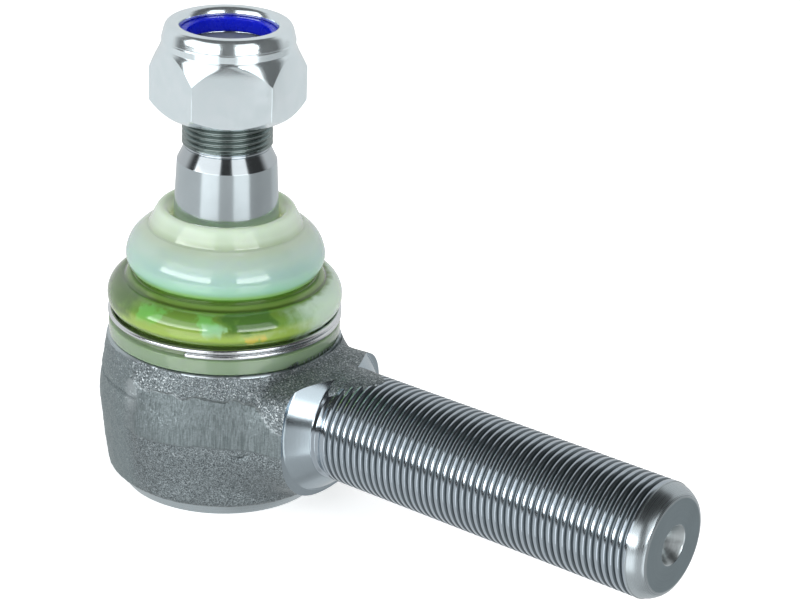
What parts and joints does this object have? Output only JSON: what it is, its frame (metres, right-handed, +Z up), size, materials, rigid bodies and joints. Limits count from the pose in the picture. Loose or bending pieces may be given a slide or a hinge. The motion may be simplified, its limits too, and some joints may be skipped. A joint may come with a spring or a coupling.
{
  "type": "tie rod end",
  "caption": "Steering ball joint with a forged housing on a threaded shank, a tapered ball stud in a ribbed rubber boot, and a self-locking hexagon nut.",
  "frame": {"origin": "centre of the ball, where the stud's axis crosses the shank's axis", "axes": "+X along the shank towards its free end; +Z up the stud towards the nut; +Y completes a right-handed frame"},
  "size_m": [0.1763, 0.0666, 0.1276],
  "materials": {
    "forged_steel": "shot-blasted forging, turned and rolled where machined",
    "ground_steel": "ground",
    "bearing_plastic": "moulded acetal",
    "pressed_steel": "pressed",
    "spring_steel": "drawn wire",
    "seal_rubber": "matt",
    "boot_polyurethane": "translucent, semi-gloss",
    "zinc_plated_steel": "bright zinc",
    "blue_nylon": "moulded"
  },
  "bodies": {
    "housing": {"housing": "forged_steel", "upper_bearing_shell": "bearing_plastic", "lower_bearing_shell": "bearing_plastic", "pressure_plate": "pressed_steel", "preload_spring": "spring_steel", "end_cover": "pressed_steel", "cover_seal": "seal_rubber", "boot_clamp_ring": "spring_steel"},
    "boot": {"boot": "boot_polyurethane"},
    "boot_lip": {"boot_lip_ring": "pressed_steel"},
    "stud": {"ball_stud": "ground_steel"},
    "nut_travel": {"nylon_insert": "blue_nylon"},
    "nut": {"lock_nut": "zinc_plated_steel"}
  },
  "joints": [
    {"name": "tilt_x", "type": "hinge", "parent": "housing", "child": "boot", "pos_m": [0, 0, 0], "axis": [1, 0, 0], "range_deg": [-18, 18], "deforming": ["boot"]},
    {"name": "tilt_y", "type": "hinge", "parent": "boot", "child": "boot_lip", "pos_m": [0, 0, 0], "axis": [0, 1, 0], "range_deg": [-18, 18]},
    {"name": "stud_spin", "type": "hinge", "parent": "boot_lip", "child": "stud", "pos_m": [0, 0, 0], "axis": [0, 0, 1], "continuous": true},
    {"name": "nut_slide", "type": "slide", "parent": "stud", "child": "nut_travel", "axis": [0, 0, 1], "range_m": [-0.008, 0.016], "deforming": ["nylon_insert"]},
    {"name": "nut_turn", "type": "hinge", "parent": "nut_travel", "child": "nut", "pos_m": [0, 0, 0.0878], "axis": [0, 0, 1], "range_deg": [-1440, 2880]}
  ],
  "couplings": [
    {"joint": "nut_slide", "follows": "nut_turn", "m_per_rad": 0.00031831}
  ]
}
